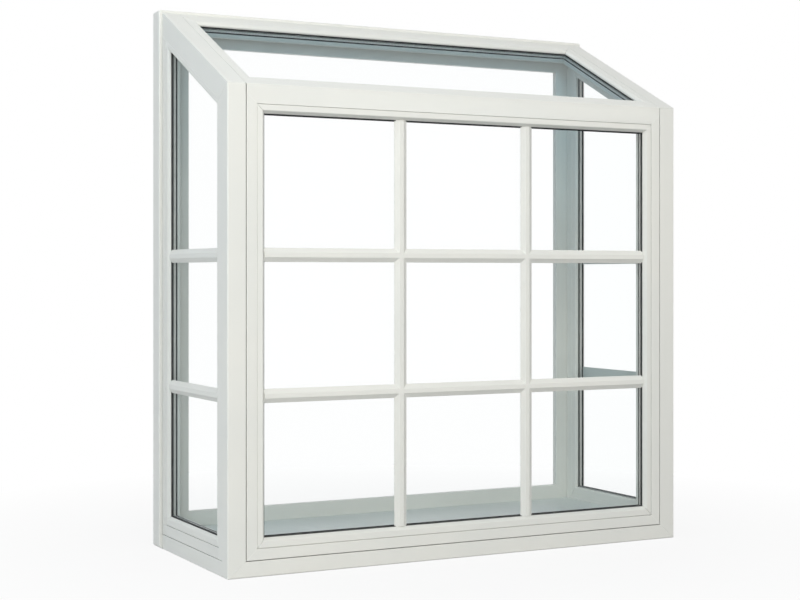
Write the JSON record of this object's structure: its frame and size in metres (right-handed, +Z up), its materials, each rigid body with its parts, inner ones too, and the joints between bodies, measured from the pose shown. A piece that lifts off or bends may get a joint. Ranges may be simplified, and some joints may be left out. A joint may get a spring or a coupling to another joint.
{
  "type": "garden window",
  "caption": "White vinyl garden window: a projecting box with a sloped glass roof, glazed front and sides with applied grilles, a seat board and a flanged wall frame.",
  "frame": {"origin": "on the floor plane under the middle of the whole window, at the underside of the bottom rails", "axes": "+Z up, +Y from the glazed front towards the house wall, +X to the right seen from outside"},
  "size_m": [0.926, 0.376, 0.9921],
  "materials": {
    "vinyl_frame": "white extruded vinyl, satin",
    "vinyl_sash": "white extruded vinyl, satin",
    "vinyl_bead": "white extruded vinyl, satin",
    "vinyl_stop": "white extruded vinyl, satin",
    "glazing_gasket": "black rubber",
    "sealed_glass": "clear",
    "glazing_spacer": "satin",
    "vinyl_grille": "white extruded vinyl, satin",
    "seat_laminate": "white laminate"
  },
  "bodies": {
    "root": {"wall_head": "vinyl_frame", "wall_sill": "vinyl_frame", "wall_jamb_left": "vinyl_frame", "wall_jamb_right": "vinyl_frame", "corner_post_left": "vinyl_frame", "corner_post_right": "vinyl_frame", "rafter_left": "vinyl_frame", "rafter_right": "vinyl_frame", "side_bottom_rail_left": "vinyl_frame", "side_bottom_rail_right": "vinyl_frame", "front_bottom_rail": "vinyl_frame", "eave_rail": "vinyl_frame", "roof_head_rail": "vinyl_frame", "front_sash_bottom_rail": "vinyl_sash", "front_sash_stile_left": "vinyl_sash", "front_sash_stile_right": "vinyl_sash", "side_sash_bottom_rail_left": "vinyl_sash", "side_sash_bottom_rail_right": "vinyl_sash", "side_sash_stile_left": "vinyl_sash", "side_sash_stile_right": "vinyl_sash", "roof_sash_stile_left": "vinyl_sash", "roof_sash_stile_right": "vinyl_sash", "roof_sash_head": "vinyl_sash", "front_bead": "vinyl_bead", "side_bead_left": "vinyl_bead", "side_bead_right": "vinyl_bead", "roof_bead": "vinyl_bead", "front_stop": "vinyl_stop", "side_stop_left": "vinyl_stop", "side_stop_right": "vinyl_stop", "roof_stop": "vinyl_stop", "front_gaskets": "glazing_gasket", "side_gaskets": "glazing_gasket", "roof_gaskets": "glazing_gasket", "front_glass": "sealed_glass", "side_glass_left": "sealed_glass", "side_glass_right": "sealed_glass", "roof_glass": "sealed_glass", "front_spacer": "glazing_spacer", "side_spacers": "glazing_spacer", "roof_spacer": "glazing_spacer", "front_grille": "vinyl_grille", "side_grille_left": "vinyl_grille", "side_grille_right": "vinyl_grille", "seat_board": "seat_laminate"}
  },
  "joints": []
}
